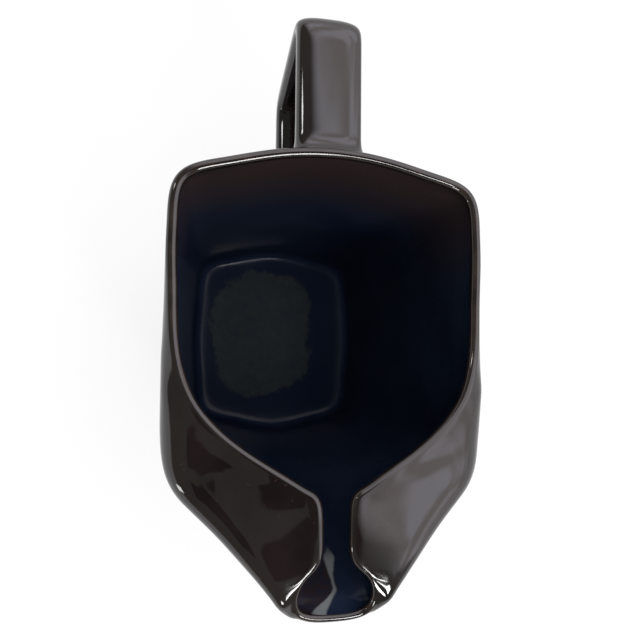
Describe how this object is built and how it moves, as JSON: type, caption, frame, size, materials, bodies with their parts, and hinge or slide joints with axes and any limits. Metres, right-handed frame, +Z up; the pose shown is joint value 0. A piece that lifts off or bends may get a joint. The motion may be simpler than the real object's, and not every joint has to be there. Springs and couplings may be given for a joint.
{
  "type": "water pitcher",
  "caption": "Glazed ceramic water pitcher with a folded-in ice guard over a slotted beak, a spade-shaped pouring lip and a flat strap handle.",
  "frame": {"origin": "middle of the bounding box, on the plane that the foot ring stands on", "axes": "+Z up, +Y towards the handle, -Y towards the pouring lip, X across, with X = 0 the plane of symmetry"},
  "size_m": [0.1392, 0.257, 0.192],
  "materials": {
    "glaze": "brown-black gloss glaze, nearly black inside",
    "bare_clay": "unglazed fired clay"
  },
  "bodies": {
    "root": {"foot_ring": "bare_clay", "base_slab": "glaze", "body_wall": "glaze", "spout_wall": "glaze", "left_wing": "glaze", "right_wing": "glaze", "pouring_lip": "glaze", "handle": "glaze"}
  },
  "joints": []
}
